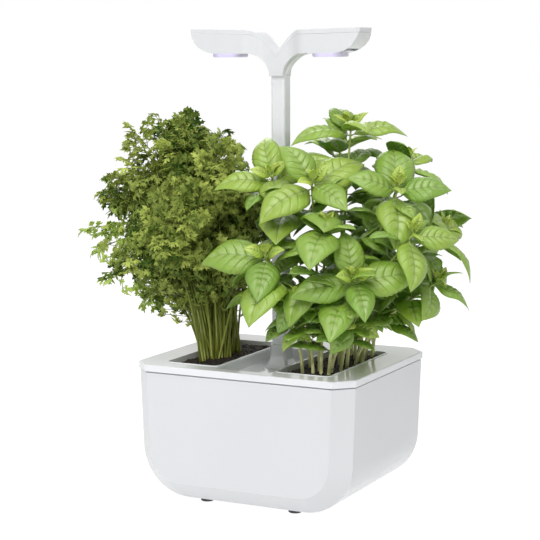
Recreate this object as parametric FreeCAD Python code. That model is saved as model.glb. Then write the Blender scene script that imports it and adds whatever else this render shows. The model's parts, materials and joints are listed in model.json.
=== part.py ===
import FreeCAD, Part
import math
import os
import random

# Countertop hydroponic garden: a water tank in a casing, a lid that holds two planting
# blocks, and a lamp on a mast between them. Millimetres, +Z up, front towards -Y.
# The origin lies on the table, under the middle of the casing.

V = FreeCAD.Vector
os.makedirs("parts", exist_ok=True)

# Lid
lid_width = 220.0
lid_depth = 187.0
lid_top = 128.0
lid_rim_height = 6.2
lid_deck = 2.2
lid_wall = 2.4
lid_corner = 16.0
lid_edge_round = 1.0

# Casing
casing_inset = 1.0
casing_wall = 2.6
casing_draft = 2.3
casing_corner = 47.0
casing_facet = 16.0
foot_height = 4.0
foot_radius = 6.0
foot_recess = 0.8
foot_chamfer = 0.6
foot_side_room = 17.0
foot_end_room = 10.5

# Tank
tank_gap = 1.0
tank_wall = 1.8
tank_flange = 1.4
tank_flange_inset = 1.6
tank_rib_height = 3.0
tank_rib_width = 2.0
tank_rib_length = 100.0
tank_rib_spacing = 40.0

# Planting slots and the blocks in them
slot_inner_x = 30.0
slot_outer_margin = 28.0
slot_front_margin = 19.5
slot_to_case = 5.0
slot_corner = 5.0
slot_collar_wall = 1.8
slot_depth = 14.0
slot_ledge = 2.2
ledge_thickness = 1.8
lip_width = 1.4
lip_height = 0.6
block_gap = 0.5
block_height = 44.0
block_wall = 1.4
soil_below_top = 6.5
soil_gap = 0.3
wick_width = 18.0
wick_thickness = 2.4
wick_length = 44.0

# Console between the slots
console_gap = 0.3
console_wall = 1.6
console_depth = 9.5
console_corner = 4.0
console_front_margin = 11.5
console_back_margin = 53.5
port_width = 34.0
port_length = 32.0
port_margin = 3.0
port_depth = 8.0
port_corner = 3.0
port_rim = 1.2
fill_hole = 15.0

# Water level float
float_stem_radius = 1.8
float_guide_gap = 0.3
float_cap_radius = 4.0
float_cap_height = 3.0
float_travel = 18.0
float_width = 24.0
float_length = 26.0
float_height = 14.0
float_headroom = 1.0
float_chamfer = 0.8

# Mast
mast_size = 14.0
mast_y = -2.0
mast_wall = 2.0
mast_corner = 2.4
mast_top = 388.7
mast_seam = 0.1
collar_size = 17.0
collar_top = 140.0
collar_height = 9.0
flare_size = 26.0
flare_steps = 4
flare_sweep = 2.2
collar_corner = 3.0
socket_wall = 2.2
socket_bottom = 62.0
tongue_gap = 0.2
tongue_wall = 1.5
tongue_bottom = 70.0
tongue_top = 205.0
lead_radius = 1.1
plug_height = 8.0

# Lamp head
head_y = -4.0
head_half_width = 85.7
neck_height = 20.3
leaf_height = 21.2
notch_height = 0.5
head_tip_rise = 1.3
head_flat_start = 30.0
neck_half_width = 7.0
neck_run = 27.0
leaf_end_run = 27.0
neck_depth = 17.0
leaf_depth = 31.4
flare_start = 11.0
flare_end = 33.0
head_cover = 4.0
head_seam = 0.15
head_wall = 2.2
head_corner = 4.0
cavity_start = 32.0
cavity_end_room = 12.0
duct_radius = 2.4
duct_rise = 4.0
duct_run = 5.0
duct_end_rise = 7.5
neck_bore = 6.0
lens_x = 51.0
lens_length = 30.0
lens_depth = 19.0
lens_drop = 3.3
lens_corner = 4.0
lens_chamfer = 1.0
lens_wall = 1.4
lens_flange = 3.0
lens_flange_thickness = 1.5
lens_gap = 0.2
board_thickness = 1.6
led_size = 3.0
led_drop = 1.2
board_overhang = 2.0
led_rows = 2
led_columns = 5

# Power inlet, control board and button, at the back of the lid
inlet_width = 12.0
inlet_height = 10.5
inlet_length = 14.0
inlet_bore = 2.75
inlet_pin = 1.0
inlet_drop = 9.0
notch_gap = 0.8
inlet_inset = 0.5
inlet_socket_depth = 10.0
box_width = 64.0
box_length = 15.0
box_height = 13.0
box_wall = 1.6
control_board_gap = 2.0
board_post_radius = 2.2
chip_size = 10.0
chip_height = 1.6
chip_x = -15.0
switch_size = 6.0
switch_gap = 0.3
button_radius = 4.5
button_gap = 0.25
button_rise = 1.2
button_travel = 1.5
button_height = 5.0
button_flange = 1.0
button_chamfer = 0.6

# Plants. A leaf's outline is one half of it, as shares of its length: out from the midrib
# and along it, from base to tip. It is creased across at its widest point.
leaf_gap = 0.3
lamp_room = 40.0
lid_room = 12.0
plant_gap = 1.5
leaf_spacing = 8.0
same_shoot_share = 0.6
spray_spacing = 6.0
stalk_spacing = 3.3
basil_leaf_length = 45.0
basil_leaf_thickness = 0.9
basil_stem_radius = 1.5
tier_spacing = 4.0
stem_taper = 0.45
basil_fold = 0.28
basil_droop = 0.35
basil_outline = [(0.02, 0.0), (0.02, 0.1), (0.24, 0.28), (0.31, 0.5), (0.2, 0.8), (0.0, 1.0)]
parsley_spray_length = 42.0
parsley_spray_thickness = 0.8
parsley_stalk_radius = 0.9
parsley_fold = -0.22
parsley_droop = 0.3
parsley_outline = [
    (0.014, 0.0), (0.014, 0.36), (0.34, 0.36), (0.22, 0.5), (0.44, 0.66), (0.2, 0.72), (0.24, 0.9), (0.0, 1.0)]
parsley_outward = 41.0
parsley_back = 6.0
parsley_rise = 140.5
parsley_half_width = 86.0
parsley_half_depth = 80.0
parsley_half_height = 88.0
parsley_low_height = 125.0
parsley_sprays = 800

# Basil shoots, measured from the middle of the soil's top: where each one ends, how far it
# leans and to which side (degrees from +X, counter-clockwise seen from above), the turn of
# its first pair, and its leaves' length.
basil_shoots = [
    (13, 8, 214, 12, -60, 15, 1),
    (-42, -37, 172, 38, -80, 20, 1.1),
    (4, -54, 170, 45, -60, 35, 1.05),
    (68, -17, 164, 45, -50, 80, 1.05),
    (50, 44, 182, 20, 20, 60, 0.95),
    (20, 58, 176, 15, 90, 10, 0.95),
    (-26, -80, 108, 55, -75, 0, 1.1),
    (54, -76, 92, 55, -62, 10, 1),
    (90, -40, 128, 50, -30, 70, 0.95),
    (89, 12, 80, 55, 0, 30, 0.9),
    (84, 40, 122, 45, 15, 75, 0.95),
    (26, -72, 136, 50, -65, 75, 1.1),
    (42, -54, 52, 60, -50, 50, 0.85),
    (4, -76, 74, 65, -90, 60, 0.9),
    (6, 90, 140, 40, 90, 40, 0.95),
    (56, 82, 124, 45, 60, 0, 0.95),
    (-20, 58, 194, 20, 110, 80, 0.9),
    (-16, 86, 84, 55, 100, 20, 0.9),
    (44, 68, 74, 50, 50, 60, 0.9),
]

# A shoot's pairs of leaves: how far up the stem, the turn from the first pair, how far past
# the stem's end (or None, for a pair further down), the pitch, and the share of the length.
basil_tiers = [
    (1.0, 0.0, 0.0, 12, 1.0),
    (1.0, 90.0, tier_spacing, 30, 0.8),
    (1.0, 0.0, 2.1 * tier_spacing, 55, 0.42),
    (0.83, 90.0, None, 0, 1.05),
    (0.68, 0.0, None, -10, 0.95),
]
pitch_changes = (0, 14, -14, 28, -28, -42)

# Sizes that follow from those above
half_w = lid_width / 2
half_d = lid_depth / 2
rim_bottom = lid_top - lid_rim_height
flange_bottom = rim_bottom - tank_flange
casing_top = flange_bottom
foot_x = half_w - casing_inset - casing_corner - foot_side_room
foot_y = half_d - casing_inset - casing_facet - foot_end_room
inlet_back = half_d - casing_inset - inlet_inset
case_back = inlet_back - inlet_length
case_front = case_back - box_length
button_y = (case_front + case_back) / 2
slot_width = half_w - slot_outer_margin - slot_inner_x
slot_front = -half_d + slot_front_margin
slot_back = case_front - slot_to_case
slot_length = slot_back - slot_front
slot_x = slot_inner_x + slot_width / 2
slot_y = (slot_front + slot_back) / 2
console_half = slot_inner_x - slot_collar_wall - console_gap
console_front = -half_d + console_front_margin
console_back = half_d - console_back_margin
console_floor = lid_top - console_depth
port_y = console_front + port_margin + port_length / 2
port_floor = console_floor - port_depth
ledge_top = lid_top - slot_depth
soil_top = lid_top - soil_below_top
block_top = soil_top + 0.5
block_bottom = ledge_top - block_height
tongue_size = mast_size - 2 * mast_wall - 2 * tongue_gap
socket_bore = tongue_size + 2 * tongue_gap
socket_outside = socket_bore + 2 * socket_wall
leaf_bottom = mast_top + neck_height
head_top = leaf_bottom + leaf_height
notch_z = leaf_bottom + notch_height
lens_bottom = leaf_bottom - lens_drop


def write(name, *shapes):
    shape = shapes[0] if len(shapes) == 1 else Part.Compound(list(shapes))
    shape.exportStep("parts/" + name + ".step")
    print(name, len(shape.Solids), "solids", round(shape.Volume / 1000, 2), "cm3", shape.isValid())


def box(x0, x1, y0, y1, z0, z1):
    return Part.makeBox(x1 - x0, y1 - y0, z1 - z0, V(x0, y0, z0))


def rounded_rectangle(width, depth, radius, z, x=0.0, y=0.0):
    a, b, r = width / 2, depth / 2, radius
    k = r * (1 - math.sqrt(0.5))
    line, arc = Part.LineSegment, Part.Arc
    edges = [
        line(V(x - a + r, y - b, z), V(x + a - r, y - b, z)),
        arc(V(x + a - r, y - b, z), V(x + a - k, y - b + k, z), V(x + a, y - b + r, z)),
        line(V(x + a, y - b + r, z), V(x + a, y + b - r, z)),
        arc(V(x + a, y + b - r, z), V(x + a - k, y + b - k, z), V(x + a - r, y + b, z)),
        line(V(x + a - r, y + b, z), V(x - a + r, y + b, z)),
        arc(V(x - a + r, y + b, z), V(x - a + k, y + b - k, z), V(x - a, y + b - r, z)),
        line(V(x - a, y + b - r, z), V(x - a, y - b + r, z)),
        arc(V(x - a, y - b + r, z), V(x - a + k, y - b + k, z), V(x - a + r, y - b, z)),
    ]
    return Part.Wire([e.toShape() for e in edges])


def rounded_block(width, depth, radius, z0, z1, x=0.0, y=0.0):
    face = Part.Face(rounded_rectangle(width, depth, radius, z0, x, y))
    return face.extrude(V(0, 0, z1 - z0))


def rounded_tube(width, depth, radius, wall, z0, z1, x=0.0, y=0.0):
    inner = max(radius - wall, 0.4)
    outside = rounded_block(width, depth, radius, z0, z1, x, y)
    return outside.cut(rounded_block(width - 2 * wall, depth - 2 * wall, inner, z0 - 1, z1 + 1, x, y))


def cornered_block(inset, z0, z1):
    # The lid's outline: a rectangle with its four corners cut at 45 degrees, drawn in by inset.
    a, b = half_w - inset, half_d - inset
    c = lid_corner - inset * (2 - math.sqrt(2))
    outline = [(a - c, -b), (a, c - b), (a, b - c), (a - c, b), (c - a, b), (-a, b - c), (-a, c - b), (c - a, -b)]
    points = [V(x, y, z0) for x, y in outline]
    return Part.Face(Part.makePolygon(points + points[:1])).extrude(V(0, 0, z1 - z0))


def tub(inset, z0, z1):
    # A drafted trough with large round lower corners, and a wide facet along both of its ends.
    slope = math.tan(math.radians(casing_draft))
    a1 = half_w - casing_inset - inset
    a0 = a1 - (z1 - z0) * slope
    b = half_d - casing_inset - inset
    points = [V(-a0, -b, z0), V(a0, -b, z0), V(a1, -b, z1), V(-a1, -b, z1)]
    body = Part.Face(Part.makePolygon(points + points[:1])).extrude(V(0, 2 * b, 0))
    low = [e for e in body.Edges if abs(e.CenterOfMass.z - z0) < 1e-3 and abs(e.CenterOfMass.y) < 1e-3]
    body = body.makeFillet(casing_corner - inset, low)
    ends = [
        e for e in body.Edges
        if abs(abs(e.CenterOfMass.y) - b) < 1e-3 and e.CenterOfMass.z < z1 - 1e-3
    ]
    return body.makeChamfer(casing_facet - inset * (2 - math.sqrt(2)), ends)


def rear_notch(z_top):
    # The way past the back wall for the power inlet, open at the top so that the lid lifts off.
    half = inlet_width / 2 + notch_gap
    low = rim_bottom - inlet_drop - inlet_height / 2 - notch_gap
    return box(-half, half, case_back, half_d + 5, low, z_top + 1)


def outer_casing():
    wall = tub(0, foot_height, casing_top).cut(tub(casing_wall, foot_height + casing_wall, casing_top))
    for sx in (-1, 1):
        for sy in (-1, 1):
            recess = Part.makeCylinder(foot_radius + 0.1, foot_recess, V(sx * foot_x, sy * foot_y, foot_height))
            wall = wall.cut(recess)
    return wall.cut(rear_notch(casing_top))


def rubber_feet():
    feet = []
    for sx in (-1, 1):
        for sy in (-1, 1):
            foot = Part.makeCylinder(foot_radius, foot_height + foot_recess, V(sx * foot_x, sy * foot_y, 0))
            rim = [e for e in foot.Edges if abs(e.CenterOfMass.z) < 1e-3 and len(e.Vertexes) == 1]
            feet.append(foot.makeChamfer(foot_chamfer, rim))
    return feet


def water_tank():
    outside = casing_wall + tank_gap
    inside = outside + tank_wall
    low = foot_height + outside
    shell = tub(outside, low, casing_top).cut(tub(inside, low + tank_wall, casing_top))
    flange = cornered_block(casing_inset + tank_flange_inset, flange_bottom, rim_bottom)
    flange = flange.cut(cornered_block(casing_inset + inside, flange_bottom - 1, rim_bottom + 1))
    tank = shell.fuse(flange)
    floor = low + tank_wall
    for i in (-1, 0, 1):
        y = i * tank_rib_spacing
        rib = box(-tank_rib_length / 2, tank_rib_length / 2, y - tank_rib_width / 2, y + tank_rib_width / 2,
                  floor - 0.2, floor + tank_rib_height)
        tank = tank.fuse(rib)
    return tank.cut(rear_notch(rim_bottom)).removeSplitter()


def top_cover():
    outside = cornered_block(0, rim_bottom, lid_top)
    upper = [
        e for e in outside.Edges
        if abs(e.CenterOfMass.z - lid_top) < 1e-3 or abs(e.Vertexes[0].Z - e.Vertexes[-1].Z) > 1
    ]
    outside = outside.makeFillet(lid_edge_round, upper)
    cover = outside.cut(cornered_block(lid_wall + casing_inset + casing_wall, rim_bottom - 1, lid_top - lid_deck))
    for side in (-1, 1):
        x = side * slot_x
        bottom = ledge_top - ledge_thickness
        collar = rounded_block(
            slot_width + 2 * slot_collar_wall, slot_length + 2 * slot_collar_wall,
            slot_corner + slot_collar_wall, bottom, lid_top - 0.5, x, slot_y)
        lip = rounded_block(
            slot_width + 2 * lip_width, slot_length + 2 * lip_width,
            slot_corner + lip_width, lid_top - 1, lid_top + lip_height, x, slot_y)
        cover = cover.fuse([collar, lip])
    for side in (-1, 1):
        x = side * slot_x
        cover = cover.cut(rounded_block(slot_width, slot_length, slot_corner, ledge_top, lid_top + 5, x, slot_y))
        cover = cover.cut(rounded_block(
            slot_width - 2 * slot_ledge, slot_length - 2 * slot_ledge,
            slot_corner, ledge_top - 10, lid_top, x, slot_y))
    length = console_back - console_front + 2 * console_gap
    middle = (console_front + console_back) / 2
    seat = rounded_block(
        2 * (console_half + console_gap), length, console_corner, rim_bottom - 20, lid_top + 5, 0, middle)
    cover = cover.cut(seat)
    button_hole = Part.makeCylinder(button_radius + button_gap, 20, V(0, button_y, lid_top - 10))
    return cover.cut(button_hole).removeSplitter()


def centre_console():
    length = console_back - console_front
    middle = (console_front + console_back) / 2
    width = 2 * console_half
    r = console_corner - console_gap
    tray = rounded_block(width, length, r, console_floor - console_wall, lid_top - 0.3, 0, middle)
    tray = tray.cut(rounded_block(
        width - 2 * console_wall, length - 2 * console_wall, r - console_wall / 2, console_floor, lid_top + 1, 0, middle))
    well = rounded_block(
        port_width, port_length, port_corner, port_floor - console_wall, console_floor + port_rim, 0, port_y)
    tray = tray.fuse(well)
    inner = rounded_block(
        port_width - 2 * console_wall, port_length - 2 * console_wall, port_corner - 1,
        port_floor, lid_top + 5, 0, port_y)
    tray = tray.cut(inner)
    hole_x = port_width / 4
    fill = rounded_block(fill_hole, fill_hole, 2, port_floor - 10, lid_top, -hole_x + 1, port_y)
    guide = Part.makeCylinder(float_stem_radius + float_guide_gap, 30, V(hole_x, port_y, port_floor - 20))
    socket = socket_outside + 2 * tongue_gap
    foot = rounded_block(socket, socket, 2, console_floor - 10, lid_top, 0, mast_y)
    return tray.cut(fill).cut(guide).cut(foot).removeSplitter()


def mast_foot():
    # A square collar that sweeps out to a wider foot, with a socket tube that goes down from it.
    wires = []
    start = collar_top - collar_height
    for i in range(flare_steps + 1):
        t = i / flare_steps
        size = collar_size + (flare_size - collar_size) * (1 - t) ** flare_sweep
        z = console_floor + (start - console_floor) * t
        wires.append(rounded_rectangle(size, size, collar_corner, z, 0, mast_y))
    foot = Part.makeLoft(wires, True, False)
    foot = foot.fuse(rounded_block(collar_size, collar_size, collar_corner, start, collar_top, 0, mast_y))
    tube = rounded_block(socket_outside, socket_outside, 2, socket_bottom, console_floor + 1, 0, mast_y)
    foot = foot.fuse(tube)
    return foot.cut(rounded_block(socket_bore, socket_bore, 0.8, socket_bottom + 2, collar_top + 1, 0, mast_y))


def mast_shells():
    tube = rounded_tube(mast_size, mast_size, mast_corner, mast_wall, collar_top, mast_top, 0, mast_y)
    far = mast_size
    split = mast_seam / 2
    front = tube.common(box(-far, far, mast_y - far, mast_y - split, collar_top - 1, mast_top + 1))
    rear = tube.common(box(-far, far, mast_y + split, mast_y + far, collar_top - 1, mast_top + 1))
    return front, rear


def mast_tongue():
    return rounded_tube(tongue_size, tongue_size, 1.2, tongue_wall, tongue_bottom, tongue_top, 0, mast_y)


def contact_plug():
    size = tongue_size - 2 * tongue_wall - tongue_gap
    return rounded_block(size, size, 0.6, tongue_bottom - 3, tongue_bottom + plug_height, 0, mast_y)


def head_outline():
    # The front view of the lamp head: two leaves that part from one neck.
    w, top, tip = head_half_width, head_top, head_top + head_tip_rise
    s = head_flat_start

    def curve(points):
        spline = Part.BSplineCurve()
        spline.interpolate(points)
        return spline.toShape()

    def side(k):
        rise = leaf_height - notch_height
        upper = curve([V(0, 0, notch_z), V(k * 0.2 * s, 0, notch_z + 0.31 * rise),
                       V(k * 0.53 * s, 0, top - 0.2 * rise), V(k * s, 0, top)])
        roof = Part.LineSegment(V(k * s, 0, top), V(k * w, 0, tip)).toShape()
        high, run = tip - leaf_bottom, leaf_end_run
        end = curve([V(k * w, 0, tip), V(k * (w - 0.1 * run), 0, tip - 0.4 * high),
                     V(k * (w - 0.32 * run), 0, tip - 0.72 * high),
                     V(k * (w - 0.7 * run), 0, tip - 0.95 * high), V(k * (w - run), 0, leaf_bottom)])
        floor = Part.LineSegment(V(k * (w - run), 0, leaf_bottom), V(k * neck_run, 0, leaf_bottom)).toShape()
        n = neck_half_width
        under = curve([V(k * neck_run, 0, leaf_bottom), V(k * (n + 0.5 * (neck_run - n)), 0, leaf_bottom - 0.16 * neck_height),
                       V(k * (n + 0.125 * (neck_run - n)), 0, leaf_bottom - 0.52 * neck_height), V(k * n, 0, mast_top)])
        return [upper, roof, end, floor, under]

    right, left = side(1), side(-1)
    bottom = Part.LineSegment(V(neck_half_width, 0, mast_top), V(-neck_half_width, 0, mast_top)).toShape()
    wire = Part.Wire(Part.__sortEdges__(right + [bottom] + left))
    return Part.Face(wire)


def head_plan():
    # The top view: slim at the neck, wider along the leaves, with trimmed outer corners.
    a, b, w, c = neck_depth / 2, leaf_depth / 2, head_half_width + 1, head_corner
    mid = (flare_start + flare_end) / 2
    edges = []
    for ky in (-1, 1):
        points = [V(-flare_end, ky * b, 0), V(-mid, ky * (a + b) / 2, 0), V(-flare_start, ky * a, 0)]
        left = Part.BSplineCurve()
        left.interpolate(Points=points, InitialTangent=V(1, 0, 0), FinalTangent=V(1, 0, 0))
        points = [V(flare_start, ky * a, 0), V(mid, ky * (a + b) / 2, 0), V(flare_end, ky * b, 0)]
        right = Part.BSplineCurve()
        right.interpolate(Points=points, InitialTangent=V(1, 0, 0), FinalTangent=V(1, 0, 0))
        edges += [
            left.toShape(),
            Part.LineSegment(V(-flare_start, ky * a, 0), V(flare_start, ky * a, 0)).toShape(),
            right.toShape(),
        ]
        for kx in (-1, 1):
            edges.append(Part.LineSegment(V(kx * flare_end, ky * b, 0), V(kx * (w - c), ky * b, 0)).toShape())
            edges.append(Part.LineSegment(V(kx * (w - c), ky * b, 0), V(kx * w, ky * (b - c), 0)).toShape())
    for kx in (-1, 1):
        edges.append(Part.LineSegment(V(kx * w, -(b - c), 0), V(kx * w, b - c, 0)).toShape())
    return Part.Face(Part.Wire(Part.__sortEdges__(edges)))


def lamp_head():
    # The head is cut from its front view by its plan. A cover as thick as head_cover lies on it.
    depth = leaf_depth + 10
    outline = head_outline().extrude(V(0, depth, 0))
    outline.translate(V(0, head_y - depth / 2, 0))
    plan = head_plan().extrude(V(0, 0, 2 * (head_top - mast_top)))
    plan.translate(V(0, head_y, mast_top - head_cover))
    head = outline.common(plan)
    under_cover, under_seam = outline.copy(), outline.copy()
    under_cover.translate(V(0, 0, -head_cover))
    under_seam.translate(V(0, 0, -head_cover - head_seam))
    cover = head.cut(under_cover)
    shell = head.common(under_seam)
    half = leaf_depth / 2 - head_wall
    for side in (-1, 1):
        x0, x1 = sorted((side * cavity_start, side * (head_half_width - cavity_end_room)))
        cavity = box(x0, x1, head_y - half, head_y + half, leaf_bottom + head_wall, head_top + 5)
        window = rounded_block(lens_length + 2 * lens_gap, lens_depth + 2 * lens_gap, lens_corner + lens_gap,
                               leaf_bottom - 5, leaf_bottom + 5, side * lens_x, head_y)
        start, end = duct_ends(side)
        duct = Part.makeCylinder(duct_radius, (end - start).Length, start, end - start)
        shell = shell.cut([cavity, window, duct])
    shell = shell.cut(rounded_block(neck_bore, neck_bore, 1, mast_top - 1, mast_top + duct_rise + 3, 0, mast_y))
    return shell, cover.Solids


def duct_ends(side):
    # The way of a lead's core from the neck to the space above a lens.
    start = V(0, mast_y, mast_top + duct_rise)
    return start, V(side * (cavity_start + duct_run), mast_y, leaf_bottom + head_wall + duct_end_rise)


def lens(side):
    x = side * lens_x
    flange_low = leaf_bottom + head_wall
    cup = rounded_block(lens_length, lens_depth, lens_corner, lens_bottom, flange_low + lens_flange_thickness,
                        x, head_y)
    cup = cup.makeChamfer(lens_chamfer, [e for e in cup.Edges if abs(e.BoundBox.ZMax - lens_bottom) < 1e-3])
    flange = rounded_block(lens_length + 2 * lens_flange, lens_depth + 2 * lens_flange, 5,
                           flange_low, flange_low + lens_flange_thickness, x, head_y)
    hollow = rounded_block(lens_length - 2 * lens_wall, lens_depth - 2 * lens_wall, lens_corner - lens_wall,
                           lens_bottom + lens_wall, flange_low + 10, x, head_y)
    return cup.fuse(flange).cut(hollow).removeSplitter()


def led_board(side):
    x = side * lens_x
    low = leaf_bottom + head_wall + lens_flange_thickness
    a, b = lens_length / 2 + board_overhang, lens_depth / 2 + board_overhang
    board = box(x - a, x + a, head_y - b, head_y + b, low, low + board_thickness)
    step_x = (lens_length - 4 * lens_wall - led_size) / (led_columns - 1)
    step_y = (lens_depth - 6 * lens_wall - led_size) / max(led_rows - 1, 1)
    for i in range(led_columns):
        for j in range(led_rows):
            cx = x + (i - (led_columns - 1) / 2) * step_x
            cy = head_y + (j - (led_rows - 1) / 2) * step_y
            h = led_size / 2
            board = board.fuse(box(cx - h, cx + h, cy - h, cy + h, low - led_drop, low + 0.1))
    return board


def lamp_lead(side):
    # One core of the lamp's lead: up the mast, out along its duct, and down to its light board.
    start, end = duct_ends(side)
    x = side * (lead_radius + 0.2)
    bend = start + (end - start) * (x / end.x)
    board_top = leaf_bottom + head_wall + lens_flange_thickness + board_thickness
    points = [V(x, mast_y, tongue_bottom + plug_height), bend, end, V(end.x, mast_y, board_top)]
    section = Part.Wire(Part.Circle(points[0], V(0, 0, 1), lead_radius).toShape())
    return Part.Wire(Part.makePolygon(points)).makePipeShell([section], True, False, 1)


def planting_block(side):
    x = side * slot_x
    upper_w = slot_width - 2 * block_gap
    upper_l = slot_length - 2 * block_gap
    lower_w = slot_width - 2 * slot_ledge - 2 * block_gap
    lower_l = slot_length - 2 * slot_ledge - 2 * block_gap
    low = block_bottom
    tray = rounded_block(lower_w, lower_l, slot_corner - block_gap, low, ledge_top + 1, x, slot_y)
    tray = tray.fuse(rounded_block(upper_w, upper_l, slot_corner - block_gap, ledge_top, block_top, x, slot_y))
    inside = rounded_block(lower_w - 2 * block_wall, lower_l - 2 * block_wall, slot_corner - block_wall,
                           low + block_wall, block_top + 1, x, slot_y)
    tray = tray.cut(inside)
    slit = box(x - wick_width / 2 - 0.3, x + wick_width / 2 + 0.3, slot_y - wick_thickness / 2 - 0.3,
               slot_y + wick_thickness / 2 + 0.3, low - 1, low + block_wall + 1)
    tray = tray.cut(slit).removeSplitter()
    soil = rounded_block(lower_w - 2 * block_wall - 2 * soil_gap, lower_l - 2 * block_wall - 2 * soil_gap,
                         slot_corner - block_wall, low + block_wall, soil_top, x, slot_y)
    wick_top = low + block_wall
    wick = box(x - wick_width / 2, x + wick_width / 2, slot_y - wick_thickness / 2, slot_y + wick_thickness / 2,
               wick_top - wick_length, wick_top)
    return tray, soil, wick


def level_float():
    x, y = port_width / 4, port_y
    cap_low = port_floor + float_guide_gap
    cap = Part.makeCylinder(float_cap_radius, float_cap_height, V(x, y, cap_low))
    rim = [e for e in cap.Edges if abs(e.CenterOfMass.z - cap_low - float_cap_height) < 1e-3 and len(e.Vertexes) == 1]
    cap = cap.makeChamfer(float_chamfer, rim)
    bottom = port_floor - console_wall - float_travel - float_headroom - float_height
    stem = Part.makeCylinder(float_stem_radius, cap_low - bottom + 1, V(x, y, bottom))
    body = rounded_block(float_width, float_length, 4, bottom, bottom + float_height, x, y)
    body = body.makeChamfer(2 * float_chamfer, [e for e in body.Edges if abs(e.BoundBox.ZMin - e.BoundBox.ZMax) < 1e-3])
    return cap.fuse([stem, body]).removeSplitter()


def power_inlet():
    z = rim_bottom - inlet_drop
    w, h = inlet_width / 2, inlet_height / 2
    block = box(-w, w, case_back, inlet_back, z - h, z + h)
    mouth = V(0, inlet_back - inlet_socket_depth, z)
    block = block.cut(Part.makeCylinder(inlet_bore, inlet_socket_depth, mouth, V(0, 1, 0)))
    return block.fuse(Part.makeCylinder(inlet_pin, inlet_socket_depth - 1, mouth, V(0, 1, 0)))


def electronics_case():
    top = lid_top - lid_deck
    low = top - box_height
    w, wall = box_width / 2, box_wall
    shell = box(-w, w, case_front, case_back, low, top)
    shell = shell.cut(box(-w + wall, w - wall, case_front + wall, case_back - wall, low + wall, top + 1))
    inside = wall + console_gap
    base = low + wall + control_board_gap
    board = box(-w + inside, w - inside, case_front + inside, case_back - inside, base, base + board_thickness)
    for side in (-1, 1):
        post = V(side * (w - inside - 2 * board_post_radius), button_y, low + wall)
        shell = shell.fuse(Part.makeCylinder(board_post_radius, control_board_gap, post))
    on_board = base + board_thickness
    half = chip_size / 2
    chip = box(chip_x - half, chip_x + half, button_y - half, button_y + half, on_board, on_board + chip_height)
    half = switch_size / 2
    switch_top = lid_top - button_height + button_rise - button_travel - switch_gap
    switch = box(-half, half, button_y - half, button_y + half, on_board, switch_top)
    return shell.removeSplitter(), board.fuse([chip, switch]).removeSplitter()


def power_button():
    top = lid_top + button_rise
    cap = Part.makeCylinder(button_radius, button_height, V(0, button_y, top - button_height))
    rim = [e for e in cap.Edges if abs(e.CenterOfMass.z - top) < 1e-3 and len(e.Vertexes) == 1]
    cap = cap.makeChamfer(button_chamfer, rim)
    skirt_top = lid_top - lid_deck - 0.05
    skirt = Part.makeCylinder(button_radius + button_flange, 1.0, V(0, button_y, skirt_top - 1.0))
    return cap.fuse(skirt).removeSplitter()


def stalk(points, radii, sides):
    # A tapered stalk with level sections, so that all of its faces are flat.
    def ring(centre, radius):
        turn = 2 * math.pi / sides
        return [centre + V(radius * math.cos(i * turn), radius * math.sin(i * turn), 0) for i in range(sides)]

    rings = [ring(c, r) for c, r in zip(points, radii)]
    faces = [Part.Face(Part.makePolygon(r + r[:1])) for r in (rings[0], rings[-1])]
    for low, high in zip(rings, rings[1:]):
        for i in range(sides):
            k = (i + 1) % sides
            faces.append(Part.Face(Part.makePolygon([low[i], low[k], high[k], high[i], low[i]])))
    return solid_from(faces)


def solid_from(faces):
    solid = Part.Solid(Part.Shell(faces))
    return solid if solid.Volume > 0 else solid.reversed()


def leaf_frame(base, along, normal):
    along = V(along).normalize()
    across = along.cross(normal).normalize()
    return V(base), along, across, across.cross(along)


def leaf_point(frame, length, fold, droop, crease_v, u, v):
    base, along, across, up = frame
    rise = fold * abs(u) - droop * max(0.0, v - crease_v)
    return base + along * (v * length) + across * (u * length) + up * (rise * length)


def leaf_solid(frame, length, outline, fold, droop, thickness):
    # A leaf folded along its midrib and across its crease, as four flat parts with one thickness.
    down = frame[3] * -thickness
    crease = outline.index(max(outline))
    crease_v = outline[crease][1]

    def at(u, v):
        return leaf_point(frame, length, fold, droop, crease_v, u, v)

    mid = [at(0, 0), at(0, crease_v), at(0, 1)]
    faces = []
    for k in (1, -1):
        rim = [at(k * u, v) for u, v in outline]
        lower = [mid[0]] + rim[:crease + 1] + [mid[1]]
        upper = [mid[1]] + rim[crease:]
        for part in (lower, upper):
            faces.append(Part.Face(Part.makePolygon(part + part[:1])))
            under = [p + down for p in part]
            faces.append(Part.Face(Part.makePolygon(under + under[:1])))
        for a, b in zip([mid[0]] + rim, rim):
            faces.append(Part.Face(Part.makePolygon([a, b, b + down, a + down, a])))
    return solid_from(faces)


def corners(places):
    return [(min(values), max(values)) for values in zip(*places)]


class Canopy:
    # Keeps the leaves and stalks of both plants apart: each is held as a few points and their box.
    def __init__(self):
        self.kept = []

    def clear(self, points, spacing, group):
        places = [tuple(p) for p in points]
        room = corners(places)
        for others, other_room, other_group in self.kept:
            if other_group == ("stem", group):
                continue
            limit = spacing * (same_shoot_share if other_group == group else 1.0)
            apart = [low - limit > high2 or high + limit < low2 for (low, high), (low2, high2) in zip(room, other_room)]
            if any(apart):
                continue
            if any(math.dist(p, q) < limit for p in places for q in others):
                return False
        return True

    def keep(self, points, group):
        places = [tuple(p) for p in points]
        self.kept.append((places, corners(places), group))


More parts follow.
